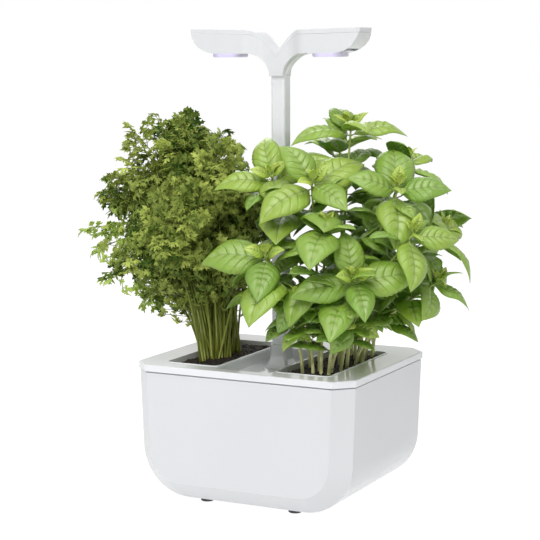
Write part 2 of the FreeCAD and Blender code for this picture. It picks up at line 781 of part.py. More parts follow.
def on_own_side(points, side):
    # The plants part along a bent upright surface: it leans left in front of the mast and runs
    # straight back behind it. Nothing reaches the mast, the lid or the outside of the lamp's path.
    clear = mast_size / 2 + plant_gap
    for p in points:
        if p.y < mast_y - clear - 2:
            limit = -clear + (p.y - mast_y + clear + 2) * 0.36
            low, high = limit - plant_gap, limit + plant_gap
        elif p.y < mast_y + clear + 2:
            low, high = -clear - plant_gap, clear + plant_gap
        else:
            low, high = -plant_gap, plant_gap
        if side < 0 and p.x > low or side > 0 and p.x < high:
            return False
        if p.z < lid_top + lid_room or p.z > lens_bottom - lamp_room:
            return False
    return True


def blade_points(frame, length, fold, droop, outline, start, steps):
    widest, crease_v = max(outline)
    points = []
    for i in range(steps + 1):
        v = start + (1.0 - start) * i / steps
        share = min(1.0, 2 - 2 * i / steps)
        for k in range(-steps, steps + 1, 2):
            points.append(leaf_point(frame, length, fold, droop, crease_v, k / steps * share * widest, v))
    return points


def stalk_path(start, end, bow, steps):
    points = []
    for i in range(steps + 1):
        t = i / steps
        level = t ** bow
        points.append(V(start.x + (end.x - start.x) * level, start.y + (end.y - start.y) * level,
                        start.z + (end.z - start.z) * t))
    return points


def between(points, t):
    place = t * (len(points) - 1)
    i = min(int(place), len(points) - 2)
    return points[i] + (points[i + 1] - points[i]) * (place - i)


def within_slot(x, y, side):
    reach_x = slot_width / 2 - slot_ledge - block_gap - block_wall - 4
    reach_y = slot_length / 2 - slot_ledge - block_gap - block_wall - 4
    dx = max(-reach_x, min(reach_x, x - side * slot_x))
    dy = max(-reach_y, min(reach_y, y - slot_y))
    return V(side * slot_x + dx, slot_y + dy, soil_top)


def leaning(lean, side):
    tilt, heading = math.radians(lean), math.radians(side)
    return V(math.sin(tilt) * math.cos(heading), math.sin(tilt) * math.sin(heading), math.cos(tilt))


def basil_plant(canopy):
    stems, leaves, shoots = [], [], []
    steps = 5
    for x, y, z, lean, side, turn, size in basil_shoots:
        end = V(slot_x + x, slot_y + y, soil_top + z)
        start = within_slot(slot_x + 0.3 * x, slot_y + 0.6 * y, 1)
        path = stalk_path(start, end, 1.7, steps)
        radii = [basil_stem_radius * (1 - stem_taper * i / steps) for i in range(steps + 1)]
        axis = leaning(lean, side)
        tip = end + axis * (2.1 * tier_spacing + 1)
        stems.append(stalk(path + [tip], radii + [0.7 * radii[-1]], 5))
        canopy.keep([between(path, i / 40) for i in range(6, 41)], ("stem", len(shoots)))
        shoots.append((path, axis, turn, basil_leaf_length * size))
    for group, (path, axis, turn, length) in enumerate(shoots):
        first = axis.cross(V(0, 0, 1))
        first = V(1, 0, 0) if first.Length < 0.02 else first.normalize()
        second = axis.cross(first)
        for t, extra, step, pitch, share in basil_tiers:
            for half_turn in (0, 180):
                angle = math.radians(turn + extra + half_turn)
                if step is None:
                    out = V(math.cos(angle), math.sin(angle), 0)
                    centre, up = between(path, t), V(0, 0, 1)
                else:
                    out = first * math.cos(angle) + second * math.sin(angle)
                    centre, up = path[-1] + axis * step, axis
                radius = basil_stem_radius * (1 - stem_taper * t) + (0.2 if step is None else 0)
                base = centre + out * (radius + leaf_gap + 0.2)
                for change in pitch_changes:
                    tip = math.radians(pitch + change)
                    along = out * math.cos(tip) + up * math.sin(tip)
                    normal = up * math.cos(tip) - out * math.sin(tip)
                    frame = leaf_frame(base, along, normal)
                    points = blade_points(frame, length * share, basil_fold, basil_droop, basil_outline, 0.3, 4)
                    if on_own_side(points, 1) and canopy.clear(points, leaf_spacing, group):
                        canopy.keep(points, group)
                        leaves.append(leaf_solid(frame, length * share, basil_outline, basil_fold, basil_droop,
                                                 basil_leaf_thickness))
                        break
    return stems, leaves


def parsley_plant(canopy):
    # Sprays stand on a rounded crown in layers, each on its own stalk from the soil.
    stalks, sprays = [], []
    spread_up, spread_round = 0.5698403, 0.7548777
    depths = (1.0, 0.84, 0.93, 0.74, 0.62)
    chance = random.Random(7)
    centre = V(-slot_x - parsley_outward, slot_y + parsley_back, soil_top + parsley_rise)
    steps = 3
    for i in range(parsley_sprays):
        rise = 1 - 1.85 * (i * spread_up % 1)
        flat = math.sqrt(1 - rise * rise)
        turn = 2 * math.pi * i * spread_round
        out = V(flat * math.cos(turn), flat * math.sin(turn), rise)
        depth = depths[i % len(depths)] * (0.97 + 0.06 * chance.random())
        height = parsley_half_height if rise > 0 else parsley_low_height
        reach = V(out.x * parsley_half_width, out.y * parsley_half_depth, out.z * height)
        end = centre + reach * (depth - 0.3)
        start = within_slot(-slot_x + (end.x + slot_x) * 0.22, slot_y + (end.y - slot_y) * 0.5, -1)
        path = stalk_path(start, end, 1.5, steps)
        along = V(out.x, out.y, out.z * 0.8 + 0.25 * chance.random() - 0.1).normalize()
        normal = (V(-out.x * out.z, -out.y * out.z, flat * flat + 0.05) + V(0, 0, 0.5)).normalize()
        if abs(along.dot(normal)) > 0.9:
            normal = V(1, 0, 0)
        length = parsley_spray_length * (0.88 + 0.24 * chance.random())
        base = end + along * (parsley_stalk_radius * 0.6 + leaf_gap + 0.1)
        frame = leaf_frame(base, along, normal)
        blade = blade_points(frame, length, parsley_fold, parsley_droop, parsley_outline, 0.36, 8)
        line = [between(path, k / 50) for k in range(2, 50)]
        if not on_own_side(blade + line[12:], -1):
            continue
        group = ("spray", i)
        if not canopy.clear(blade, spray_spacing, group) or not canopy.clear(line, stalk_spacing, group):
            continue
        canopy.keep(blade, group)
        canopy.keep(line, group)
        radii = [parsley_stalk_radius * (1 - stem_taper * k / steps) for k in range(steps + 1)]
        stalks.append(stalk(path, radii, 4))
        sprays.append(leaf_solid(frame, length, parsley_outline, parsley_fold, parsley_droop,
                                 parsley_spray_thickness))
    return stalks, sprays


def main():
    write("outer_casing", outer_casing())
    write("rubber_feet", *rubber_feet())
    write("water_tank", water_tank())
    write("top_cover", top_cover())
    write("centre_console", centre_console())
    write("mast_foot", mast_foot())
    front, rear = mast_shells()
    write("mast_front_shell", front)
    write("mast_rear_shell", rear)
    write("mast_tongue", mast_tongue())
    write("contact_plug", contact_plug())
    shell, covers = lamp_head()
    write("lamp_lower_shell", shell)
    write("lamp_top_cover", *covers)
    for side, name in ((-1, "left"), (1, "right")):
        write("lens_" + name, lens(side))
        write("led_board_" + name, led_board(side))
    write("lamp_lead", lamp_lead(-1), lamp_lead(1))
    for side, name in ((-1, "parsley"), (1, "basil")):
        tray, soil, wick = planting_block(side)
        write(name + "_tray", tray)
        write(name + "_soil", soil)
        write(name + "_wick", wick)
    canopy = Canopy()
    stems, leaves = basil_plant(canopy)
    write("basil_stems", *stems)
    write("basil_leaves", *leaves)
    stalks, sprays = parsley_plant(canopy)
    write("parsley_stalks", *stalks)
    write("parsley_leaves", *sprays)
    write("level_float", level_float())
    write("power_inlet", power_inlet())
    case, board = electronics_case()
    write("electronics_case", case)
    write("control_board", board)
    write("power_button", power_button())


main()
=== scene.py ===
import json
import math
import random

import bmesh
import bpy
import numpy as np
from mathutils import Matrix, Vector, noise
from mathutils.bvhtree import BVHTree


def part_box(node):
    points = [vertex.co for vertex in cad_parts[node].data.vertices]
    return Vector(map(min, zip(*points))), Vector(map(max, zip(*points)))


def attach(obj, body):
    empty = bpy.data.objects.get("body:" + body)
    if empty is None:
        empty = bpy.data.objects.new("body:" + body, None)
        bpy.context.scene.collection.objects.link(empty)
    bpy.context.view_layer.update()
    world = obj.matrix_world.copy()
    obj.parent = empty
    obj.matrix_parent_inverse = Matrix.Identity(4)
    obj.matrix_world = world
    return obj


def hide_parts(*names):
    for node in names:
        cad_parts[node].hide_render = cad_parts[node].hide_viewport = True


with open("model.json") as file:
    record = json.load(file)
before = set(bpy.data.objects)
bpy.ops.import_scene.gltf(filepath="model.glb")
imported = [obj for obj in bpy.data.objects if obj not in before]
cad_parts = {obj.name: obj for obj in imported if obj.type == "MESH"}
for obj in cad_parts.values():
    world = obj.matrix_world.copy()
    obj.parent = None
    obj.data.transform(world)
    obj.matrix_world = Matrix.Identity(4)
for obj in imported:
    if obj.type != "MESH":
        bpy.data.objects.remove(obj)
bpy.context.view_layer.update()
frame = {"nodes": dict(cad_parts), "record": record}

bl_info = {
    "name": "Countertop Herb Garden",
    "version": (1, 0, 0),
    "blender": (4, 5, 0),
    "location": "View3D > Sidebar > Garden",
    "description": "Finishes the housing of a countertop garden and grows its two herbs",
    "category": "Object",
}

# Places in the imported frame, in metres

lid_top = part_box("top_cover")[1].z
mast_low, mast_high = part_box("mast_front_shell")
mast_half = (mast_high.x - mast_low.x) / 2
mast_y = (mast_low.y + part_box("mast_rear_shell")[1].y) / 2
lens_low, lens_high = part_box("lens_left")
soil_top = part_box("basil_soil")[1].z
parsley_low, parsley_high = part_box("parsley_leaves")
parsley_middle = (parsley_low + parsley_high) / 2

# Values that more than one piece shares: distances in metres, turns in radians

merge_distance = 1e-6
soil_mound = 0.0036
stalk_sink = 0.001
any_turn = 6.28
quarter_turn = 1.57
line_steps = 4

# Side veins of a basil blade, in its mesh and in its material

vein_count = 7.0
vein_slope = 1.5
vein_curve = 1.25


# Settings

class HousingSettings(bpy.types.PropertyGroup):
    white: bpy.props.FloatVectorProperty(
        name="White", description="Colour of the glossy housing", subtype="COLOR",
        default=(0.80, 0.81, 0.83), min=0, max=1)
    gloss: bpy.props.FloatProperty(
        name="Roughness", description="Roughness of the moulded housing", default=0.2, min=0, max=1, subtype="FACTOR")
    glow: bpy.props.FloatVectorProperty(
        name="Lamp glow", description="Colour of the lit lenses", subtype="COLOR",
        default=(0.66, 0.58, 0.96), min=0, max=1)
    glow_strength: bpy.props.FloatProperty(
        name="Glow strength", description="How brightly the lenses shine", default=0.7, min=0, max=20)
    cover_width: bpy.props.FloatProperty(
        name="Cover width", description="Width of the strip that closes a lamp duct", default=0.0075, min=0.003,
        max=0.014, unit="LENGTH", precision=4)
    cover_centre: bpy.props.FloatProperty(
        name="Cover centre", description="Distance from the mast's middle to the middle of an arm's bend",
        default=0.026, min=0.01, max=0.05, unit="LENGTH", precision=4)


class BasilSettings(bpy.types.PropertyGroup):
    young: bpy.props.FloatVectorProperty(
        name="Young leaf", description="Colour of the youngest leaves", subtype="COLOR",
        default=(0.52, 0.64, 0.08), min=0, max=1)
    grown: bpy.props.FloatVectorProperty(
        name="Grown leaf", description="Colour of the full-sized leaves", subtype="COLOR",
        default=(0.17, 0.31, 0.03), min=0, max=1)
    # Painted shade: this darker green, laid along the veins and midrib, stands in for the shade in their grooves
    vein_shade: bpy.props.FloatVectorProperty(
        name="Vein", description="Colour of the veins", subtype="COLOR", default=(0.13, 0.24, 0.02), min=0, max=1)
    pucker: bpy.props.FloatProperty(
        name="Pucker", description="Height of the blade between two veins", default=0.0016, min=0, max=0.004,
        unit="LENGTH", precision=4)
    thickness: bpy.props.FloatProperty(
        name="Leaf thickness", description="Thickness of a leaf", default=0.00035, min=0.0001, max=0.002,
        unit="LENGTH", precision=5)
    side_pairs: bpy.props.IntProperty(
        name="Side pairs", description="Pairs of smaller leaves on each stem, below its crown", default=6, min=0,
        max=12)


class ParsleySettings(bpy.types.PropertyGroup):
    bright: bpy.props.FloatVectorProperty(
        name="Bright leaflet", description="Colour of the brightest leaflets", subtype="COLOR",
        default=(0.58, 0.67, 0.15), min=0, max=1)
    deep: bpy.props.FloatVectorProperty(
        name="Deep leaflet", description="Colour of the darkest leaflets", subtype="COLOR",
        default=(0.03, 0.08, 0.004), min=0, max=1)
    fading: bpy.props.FloatVectorProperty(
        name="Fading leaflet", description="Colour of the sprays that are turning yellow", subtype="COLOR",
        default=(0.46, 0.60, 0.13), min=0, max=1)
    leaflet: bpy.props.FloatProperty(
        name="Leaflet length", description="Length of a leaflet at the end of a spray", default=0.0098,
        min=0.005, max=0.04, unit="LENGTH", precision=4)
    thickness: bpy.props.FloatProperty(
        name="Leaflet thickness", description="Thickness of a leaflet", default=0.0003, min=0.0001, max=0.002,
        unit="LENGTH", precision=5)
    pairs: bpy.props.IntProperty(
        name="Pairs", description="Pairs of side sprays on each stalk", default=6, min=1, max=10)
    neighbours: bpy.props.IntProperty(
        name="Neighbours", description="Stalks grown between each stalk and those near it", default=2, min=0, max=6)


class StageSettings(bpy.types.PropertyGroup):
    backdrop: bpy.props.FloatVectorProperty(
        name="Backdrop", description="Colour of the floor and of what lies behind", subtype="COLOR",
        default=(0.9, 0.9, 0.9), min=0, max=1)
    floor_size: bpy.props.FloatProperty(
        name="Floor size", description="Radius of the floor", default=6.0, min=1, max=50, unit="LENGTH")
    key: bpy.props.FloatProperty(
        name="Key light", description="Power of the main light", default=18.2, min=0, max=500, unit="POWER")
    ambient: bpy.props.FloatProperty(
        name="Ambient", description="Strength of the light from all round", default=0.34, min=0, max=4)


# Making and placing pieces

def settings(name):
    return getattr(bpy.context.scene, name)


def keep_piece(name, whole, material, body, replaced=(), smooth=True):
    mesh = bpy.data.meshes.new(name)
    whole.to_mesh(mesh)
    whole.free()
    mesh.polygons.foreach_set("use_smooth", [smooth] * len(mesh.polygons))
    mesh.materials.append(material)
    piece = bpy.data.objects.new(name, mesh)
    bpy.context.scene.collection.objects.link(piece)
    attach(piece, body)
    if replaced:
        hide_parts(*replaced)
    return piece


def thicken(piece, thickness):
    wall = piece.modifiers.new("Thickness", "SOLIDIFY")
    wall.thickness = thickness
    wall.offset = -1


def join_part(whole, part):
    """Adds a small mesh to a larger one."""
    carrier = bpy.data.meshes.new("carrier")
    part.to_mesh(carrier)
    part.free()
    whole.from_mesh(carrier)
    bpy.data.meshes.remove(carrier)


def loose_solids(node):
    """The points of each separate solid of a CAD node, from a merged copy of its mesh."""
    copy = bmesh.new()
    copy.from_mesh(frame["nodes"][node].data)
    bmesh.ops.remove_doubles(copy, verts=copy.verts[:], dist=merge_distance)
    solids, seen = [], set()
    for start in copy.verts:
        if start in seen:
            continue
        seen.add(start)
        found, waiting = [], [start]
        while waiting:
            vert = waiting.pop()
            found.append(vert.co.copy())
            for edge in vert.link_edges:
                other = edge.other_vert(vert)
                if other not in seen:
                    seen.add(other)
                    waiting.append(other)
        solids.append(found)
    copy.free()
    return solids


def leaf_place(points):
    """Where a leaf solid lies: its base, its directions along, across and up, and its length."""
    near_end, at_end, ridge_width = 0.12, 0.03, 0.03
    ridge_from, ridge_to = 0.25, 0.85
    co = np.array(points)
    middle = co.mean(0)
    axes = np.linalg.svd(co - middle, full_matrices=False)[2]
    place = (co - middle) @ axes[0]
    reach = place.max() - place.min()
    near_low = (place < place.min() + near_end * reach).sum()
    near_high = (place > place.max() - near_end * reach).sum()
    if near_high > near_low:
        place = -place
    base = co[place < place.min() + at_end * reach].mean(0)
    tip = co[place > place.max() - at_end * reach].mean(0)
    chord = tip - base
    length = np.linalg.norm(chord)
    chord /= length
    rest = (co - base) - np.outer((co - base) @ chord, chord)
    across = np.linalg.svd(rest, full_matrices=False)[2][0]
    share = (co - base) @ chord / length
    ridge = (np.abs(rest @ across) < ridge_width * length) & (share > ridge_from) & (share < ridge_to)
    up = np.cross(across, chord)
    if ridge.any() and (rest[ridge].mean(0) @ up) < 0:
        up, across = -up, -across
    return Vector(base), Vector(chord), Vector(across), Vector(up), length


def stalk_rings(points):
    """The centre and radius of each level section of a stalk solid, from the lowest up."""
    levels = {}
    for p in points:
        levels.setdefault(round(p.z, 5), []).append(p)
    rings = []
    for z in sorted(levels):
        ring = levels[z]
        centre = sum(ring, Vector()) / len(ring)
        rings.append((centre, sum((p - centre).length for p in ring) / len(ring)))
    return rings


def smooth_line(points):
    """Points along a smooth line through the given ones."""
    line = []
    for i in range(len(points) - 1):
        a, b = points[max(i - 1, 0)], points[i]
        c, d = points[i + 1], points[min(i + 2, len(points) - 1)]
        for k in range(line_steps):
            t = k / line_steps
            line.append(0.5 * (2 * b + (c - a) * t + (2 * a - 5 * b + 4 * c - d) * t * t
                               + (3 * b - a - 3 * c + d) * t ** 3))
    line.append(points[-1].copy())
    return line


def add_tube(whole, line, radii, sides):
    """Extrudes a round cap along a line, as a closed tube."""
    part = bmesh.new()
    cap = bmesh.ops.create_circle(part, cap_ends=True, segments=sides, radius=1.0)
    ring = cap["verts"]
    face = part.faces[:]
    for i, (centre, radius) in enumerate(zip(line, radii)):
        ahead = line[min(i + 1, len(line) - 1)] - line[max(i - 1, 0)]
        turn = ahead.to_track_quat("Z", "Y").to_matrix().to_4x4()
        place = Matrix.Translation(centre) @ turn @ Matrix.Scale(radius, 4)
        if i:
            grown = bmesh.ops.extrude_face_region(part, geom=face)
            ring = [e for e in grown["geom"] if isinstance(e, bmesh.types.BMVert)]
            face = [e for e in grown["geom"] if isinstance(e, bmesh.types.BMFace)]
            bmesh.ops.transform(part, matrix=before.inverted(), verts=ring)
        bmesh.ops.transform(part, matrix=place, verts=ring)
        before = place
    bmesh.ops.recalc_face_normals(part, faces=part.faces[:])
    join_part(whole, part)


def add_twig(whole, start, end, radius):
    """A short straight stalk, unless its ends meet."""
    shortest, taper = 1e-5, 0.8
    ahead = end - start
    if ahead.length < shortest:
        return
    place = Matrix.Translation((start + end) / 2) @ ahead.to_track_quat("Z", "Y").to_matrix().to_4x4()
    part = bmesh.new()
    bmesh.ops.create_cone(part, cap_ends=True, segments=4, radius1=radius, radius2=radius * taper,
                          depth=ahead.length, matrix=place)
    join_part(whole, part)


def on_own_side(p, side):
    """Whether a point keeps to its own plant's side, clear of the mast, the lid and the lamp."""
    half_gap, mast_gap, edge_gap = 0.0008, 0.0015, 0.002
    lid_gap, lens_gap = 0.004, 0.039
    border_slope = 0.36
    clear = mast_half + mast_gap
    edge = clear + edge_gap
    if p.y < mast_y - edge:
        limit = -clear + (p.y - mast_y + edge) * border_slope
        low, high = limit - half_gap, limit + half_gap
    elif p.y < mast_y + edge:
        low, high = -clear - half_gap, clear + half_gap
    else:
        low, high = -half_gap, half_gap
    if side < 0 and p.x > low or side > 0 and p.x < high:
        return False
    return lid_top + lid_gap < p.z < lens_low.z - lens_gap


# Materials

def material(name):
    made = bpy.data.materials.new(name)
    made.use_nodes = True
    tree = made.node_tree
    return made, tree, tree.nodes["Principled BSDF"]


def fit(tree, made, values):
    """Links or sets sockets of a node."""
    for socket, value in values.items():
        if isinstance(value, bpy.types.NodeSocket):
            tree.links.new(value, made.inputs[socket])
        else:
            made.inputs[socket].default_value = value


def node(tree, kind, values=None, **fields):
    made = tree.nodes.new(kind)
    for field, value in fields.items():
        setattr(made, field, value)
    fit(tree, made, values or {})
    return made


def maths(tree, operation, a, b=0.0, c=0.0):
    return node(tree, "ShaderNodeMath", {0: a, 1: b, 2: c}, operation=operation).outputs[0]


def times(tree, a, b):
    return maths(tree, "MULTIPLY", a, b)


def span(tree, value, from_low, from_high, to_low=0.0, to_high=1.0):
    """Stretches the part of a value that lies between two limits to lie between two others."""
    limits = {"Value": value, "From Min": from_low, "From Max": from_high, "To Min": to_low, "To Max": to_high}
    return node(tree, "ShaderNodeMapRange", limits).outputs["Result"]


def mixed(tree, factor, a, b):
    """A colour between two others."""
    made = node(tree, "ShaderNodeMix", data_type="RGBA", blend_type="MIX")
    for socket, value in ((0, factor), (6, a), (7, b)):
        if not isinstance(value, (bpy.types.NodeSocket, float)):
            value = (*value[:3], 1.0)
        fit(tree, made, {socket: value})
    return made.outputs[2]


def shade(colour, share):
    return tuple(c * share for c in colour)


def object_place(tree):
    return node(tree, "ShaderNodeTexCoord").outputs["Object"]


def drawn_out(tree, across, along):
    """Object coordinates for a pattern that is drawn out along Z."""
    scale = {"Vector": object_place(tree), "Scale": (across, across, along)}
    return node(tree, "ShaderNodeMapping", scale).outputs["Vector"]


def grain(tree, scale, detail=3.0, roughness=0.5, place=None):
    values = {"Vector": place or object_place(tree), "Scale": scale, "Detail": detail, "Roughness": roughness}
    return node(tree, "ShaderNodeTexNoise", values).outputs["Fac"]


def cells(tree, scale, **fields):
    """The distance to the edges of a pattern of cells."""
    values = {"Vector": object_place(tree), "Scale": scale}
    return node(tree, "ShaderNodeTexVoronoi", values, **fields, feature="DISTANCE_TO_EDGE").outputs["Distance"]


def leaf_age(tree):
    """The age that a plant's mesh stores for each leaf, from 0, young, to 1, grown."""
    return node(tree, "ShaderNodeAttribute", attribute_name="age").outputs["Fac"]


def bump(tree, shader, height, distance, strength=1.0):
    made = node(tree, "ShaderNodeBump", {"Height": height, "Distance": distance, "Strength": strength})
    tree.links.new(made.outputs["Normal"], shader.inputs["Normal"])


def moulded_plastic(name, colour, roughness, coat=0.0):
    """A moulded plastic: faint flow marks in its colour and gloss, and a fine texture."""
    made, tree, shader = material(name)
    flow = grain(tree, 14.0, 4.0)
    fit(tree, shader, {
        "Base Color": mixed(tree, flow, shade(colour, 0.97), colour),
        "Roughness": span(tree, flow, 0.3, 0.7, roughness * 0.9, roughness * 1.12),
        "Coat Weight": coat, "Coat Roughness": 0.06, "IOR": 1.49})
    bump(tree, shader, grain(tree, 900.0, 2.0), 0.00002, 0.5)
    return made


def rubber():
    """Dark rubber with worn, paler spots."""
    made, tree, shader = material("rubber_foot")
    wear = grain(tree, 300.0, 4.0)
    fit(tree, shader, {"Base Color": mixed(tree, wear, (0.06, 0.06, 0.06), (0.11, 0.11, 0.11)), "Roughness": 0.8})
    bump(tree, shader, wear, 0.00005)
    return made


def brushed_metal(name, colour):
    """Metal with fine lines along its height."""
    made, tree, shader = material(name)
    lines = grain(tree, 1.0, place=drawn_out(tree, 900.0, 12.0))
    fit(tree, shader, {
        "Base Color": mixed(tree, lines, shade(colour, 0.85), colour),
        "Roughness": span(tree, lines, 0.3, 0.7, 0.28, 0.42), "Metallic": 1.0})
    bump(tree, shader, lines, 0.00002, 0.4)
    return made


def circuit_board():
    """A dark green board with brighter tracks."""
    made, tree, shader = material("circuit_board")
    line = span(tree, cells(tree, 420.0, distance="CHEBYCHEV"), 0.02, 0.05)
    fit(tree, shader, {"Base Color": mixed(tree, line, (0.12, 0.34, 0.14), (0.02, 0.14, 0.05)), "Roughness": 0.35})
    bump(tree, shader, line, 0.00003, 0.5)
    return made


def lit_lens():
    """A milky lens that glows, more at its middle than at its rim."""
    made, tree, shader = material("lit_lens")
    house = settings("housing")
    haze = grain(tree, 60.0)
    x = node(tree, "ShaderNodeSeparateXYZ", {0: object_place(tree)}).outputs[0]
    middle, half = (lens_high.x + lens_low.x) / 2, (lens_high.x - lens_low.x) / 2
    away = maths(tree, "ABSOLUTE", maths(tree, "ADD", maths(tree, "ABSOLUTE", x), -abs(middle)))
    lit = span(tree, away, half * 0.35, half * 0.95, 1.0, 0.0)
    fit(tree, shader, {
        "Base Color": mixed(tree, haze, (0.52, 0.51, 0.56), (0.6, 0.59, 0.66)), "Roughness": 0.25,
        "Emission Color": mixed(tree, lit, (0.0, 0.0, 0.0), house.glow), "Emission Strength": house.glow_strength})
    bump(tree, shader, haze, 0.00003, 0.3)
    return made


def earth():
    """Dark, crumbly potting soil with pale specks."""
    made, tree, shader = material("earth")
    clumps = grain(tree, 180.0, 6.0, 0.7)
    specks = span(tree, grain(tree, 900.0, 2.0), 0.68, 0.74)
    brown = mixed(tree, span(tree, clumps, 0.35, 0.7), (0.006, 0.004, 0.003), (0.035, 0.022, 0.013))
    fit(tree, shader, {"Base Color": mixed(tree, specks, brown, (0.12, 0.09, 0.06)), "Roughness": 0.92})
    bump(tree, shader, clumps, 0.0008)
    return made


def fibre(name, colour):
    """Pressed fibre, as in a wick or a planting tray."""
    made, tree, shader = material(name)
    strands = grain(tree, 1.0, 5.0, 0.7, drawn_out(tree, 500.0, 60.0))
    fit(tree, shader, {"Base Color": mixed(tree, strands, shade(colour, 0.55), colour), "Roughness": 0.9})
    bump(tree, shader, strands, 0.0002)
    return made


def basil_leaf():
    """A glossy leaf drawn on its own UV map: its veins and midrib are painted darker as painted shade in their
    grooves, and a paler green beside its midrib is a painted highlight.
    """
    made, tree, shader = material("basil_leaf")
    herb = settings("basil")
    uv = node(tree, "ShaderNodeUVMap", uv_map="leaf").outputs["UV"]
    parts = node(tree, "ShaderNodeSeparateXYZ", {0: uv}).outputs
    side = maths(tree, "ABSOLUTE", maths(tree, "MULTIPLY_ADD", parts[0], 2.0, -1.0))
    bent = times(tree, maths(tree, "POWER", side, vein_curve), -vein_slope)
    phase = maths(tree, "ADD", times(tree, parts[1], vein_count), bent)
    away = maths(tree, "ABSOLUTE", maths(tree, "SUBTRACT", maths(tree, "FRACT", phase), 0.5))
    veins = span(tree, away, 0.44, 0.5)
    towards_tip = span(tree, parts[1], 0.62, 0.86, 1.0, 0.0)
    fade = times(tree, span(tree, side, 0.55, 1.0, 1.0, 0.25), towards_tip)
    midrib = span(tree, side, 0.025, 0.07, 1.0, 0.0)
    lines = maths(tree, "MAXIMUM", times(tree, veins, fade), midrib)
    blotch = grain(tree, 90.0, 4.0)
    blade = mixed(tree, leaf_age(tree), herb.young, herb.grown)
    blade = mixed(tree, span(tree, blotch, 0.3, 0.75, 0.0, 0.4), blade, shade(herb.grown, 1.6))
    # Painted highlight: a paler, whiter green beside the midrib, between the veins, stands in for the leaf's sheen
    # there
    beside = times(tree, span(tree, side, 0.05, 0.5, 0.3, 0.0), span(tree, away, 0.1, 0.45, 1.0, 0.0))
    blade = mixed(tree, beside, blade, tuple(0.35 + 0.65 * c for c in herb.young))
    dome = times(tree, times(tree, away, away), -4.0)
    quilt = times(tree, dome, times(tree, towards_tip, span(tree, side, 0.0, 0.9, 1.0, 0.35)))
    net = maths(tree, "MULTIPLY_ADD", cells(tree, 700.0), 0.3, times(tree, lines, -0.4))
    fit(tree, shader, {
        # Painted shade: the veins and midrib take a darker green, for the shade in their grooves
        "Base Color": mixed(tree, times(tree, lines, 0.5), blade, herb.vein_shade),
        "Roughness": span(tree, blotch, 0.3, 0.7, 0.34, 0.46), "Specular IOR Level": 0.7,
        "Subsurface Weight": 0.12, "Subsurface Radius": (0.002, 0.004, 0.001), "Subsurface Scale": 0.5})
    bump(tree, shader, maths(tree, "ADD", quilt, net), 0.0009, 0.8)
    return made


def parsley_leaf():
    """A matt, crisp leaflet: its depth of green changes from spray to spray."""
    made, tree, shader = material("parsley_leaf")
    herb = settings("parsley")
    age = leaf_age(tree)
    blotch = grain(tree, 160.0, 4.0)
    tone = maths(tree, "MULTIPLY_ADD", blotch, 0.8, maths(tree, "MULTIPLY_ADD", age, 1.2, -0.55))
    green = mixed(tree, tone, herb.bright, herb.deep)
    fit(tree, shader, {
        "Base Color": mixed(tree, span(tree, age, 0.02, 0.1, 1.0, 0.0), green, herb.fading),
        "Roughness": 0.5, "Specular IOR Level": 0.12,
        "Subsurface Weight": 0.03, "Subsurface Radius": (0.001, 0.003, 0.001), "Subsurface Scale": 0.5})
    bump(tree, shader, grain(tree, 500.0), 0.0003, 0.6)
    return made


def green_stalk(name, low, high, low_z, high_z):
    """A fresh stalk, paler towards the soil, with fine ribs."""
    made, tree, shader = material(name)
    z = node(tree, "ShaderNodeSeparateXYZ", {0: object_place(tree)}).outputs[2]
    ribs = grain(tree, 1.0, 2.0, place=drawn_out(tree, 1400.0, 60.0))
    colour = mixed(tree, span(tree, z, low_z, high_z), low, high)
    ribbed = mixed(tree, span(tree, ribs, 0.4, 0.7, 0.0, 0.35), colour, shade(high, 0.5))
    fit(tree, shader, {"Base Color": ribbed, "Roughness": 0.42})
    bump(tree, shader, ribs, 0.0002, 0.5)
    return made


# Housing, lamp and tank

class GARDEN_OT_finish_housing(bpy.types.Operator):
    """Gives every moulded, metal and electrical piece its finish"""
    bl_idname = "garden.finish_housing"
    bl_label = "Finish the housing"

    def execute(self, context):
        house = settings("housing")
        white = tuple(house.white)
        moulded = (
            ("gloss_white", white, house.gloss, 0.2),
            ("console_white", white, 0.1, 0.7),
            # Painted light: the mast's white is a lighter copy of the housing's white, so that its shaded sides come
            # out as bright as the front
            ("mast_white", shade(white, 1.08), 0.22, 0.3),
            ("lamp_white", shade(white, 0.96), 0.24, 0.3),
            ("tank_white", shade(white, 0.62), 0.4),
            ("float_white", shade(white, 0.95), 0.3),
            ("dark_plastic", (0.03, 0.03, 0.032), 0.45),
            ("button_grey", (0.45, 0.46, 0.48), 0.35),
        )
        shades = {row[0]: moulded_plastic(*row) for row in moulded}
        shades.update({
            "tongue_metal": brushed_metal("tongue_metal", (0.78, 0.79, 0.80)),
            "board_metal": brushed_metal("board_metal", (0.83, 0.84, 0.86)),
            "tray_brown": fibre("tray_brown", (0.10, 0.066, 0.042)),
            "wick_felt": fibre("wick_felt", (0.75, 0.73, 0.68)),
            "foot_rubber": rubber(),
            "lens_violet": lit_lens(),
            "board_green": circuit_board(),
            "soil": earth(),
        })
        for row in frame["record"]["subparts"]:
            if row["material_slot"] in shades:
                piece = frame["nodes"][row["node"]]
                piece.data.materials.clear()
                piece.data.materials.append(shades[row["material_slot"]])
        # Painted light: the lid is the casing's white plastic, given a lighter copy of that white so that the lid,
        # shaded by the plants, comes out as bright as the front
        lid = moulded_plastic("lid_lit_white", shade(white, 1.15), house.gloss, 0.2)
        frame["nodes"]["top_cover"].data.materials[0] = lid
        return {"FINISHED"}


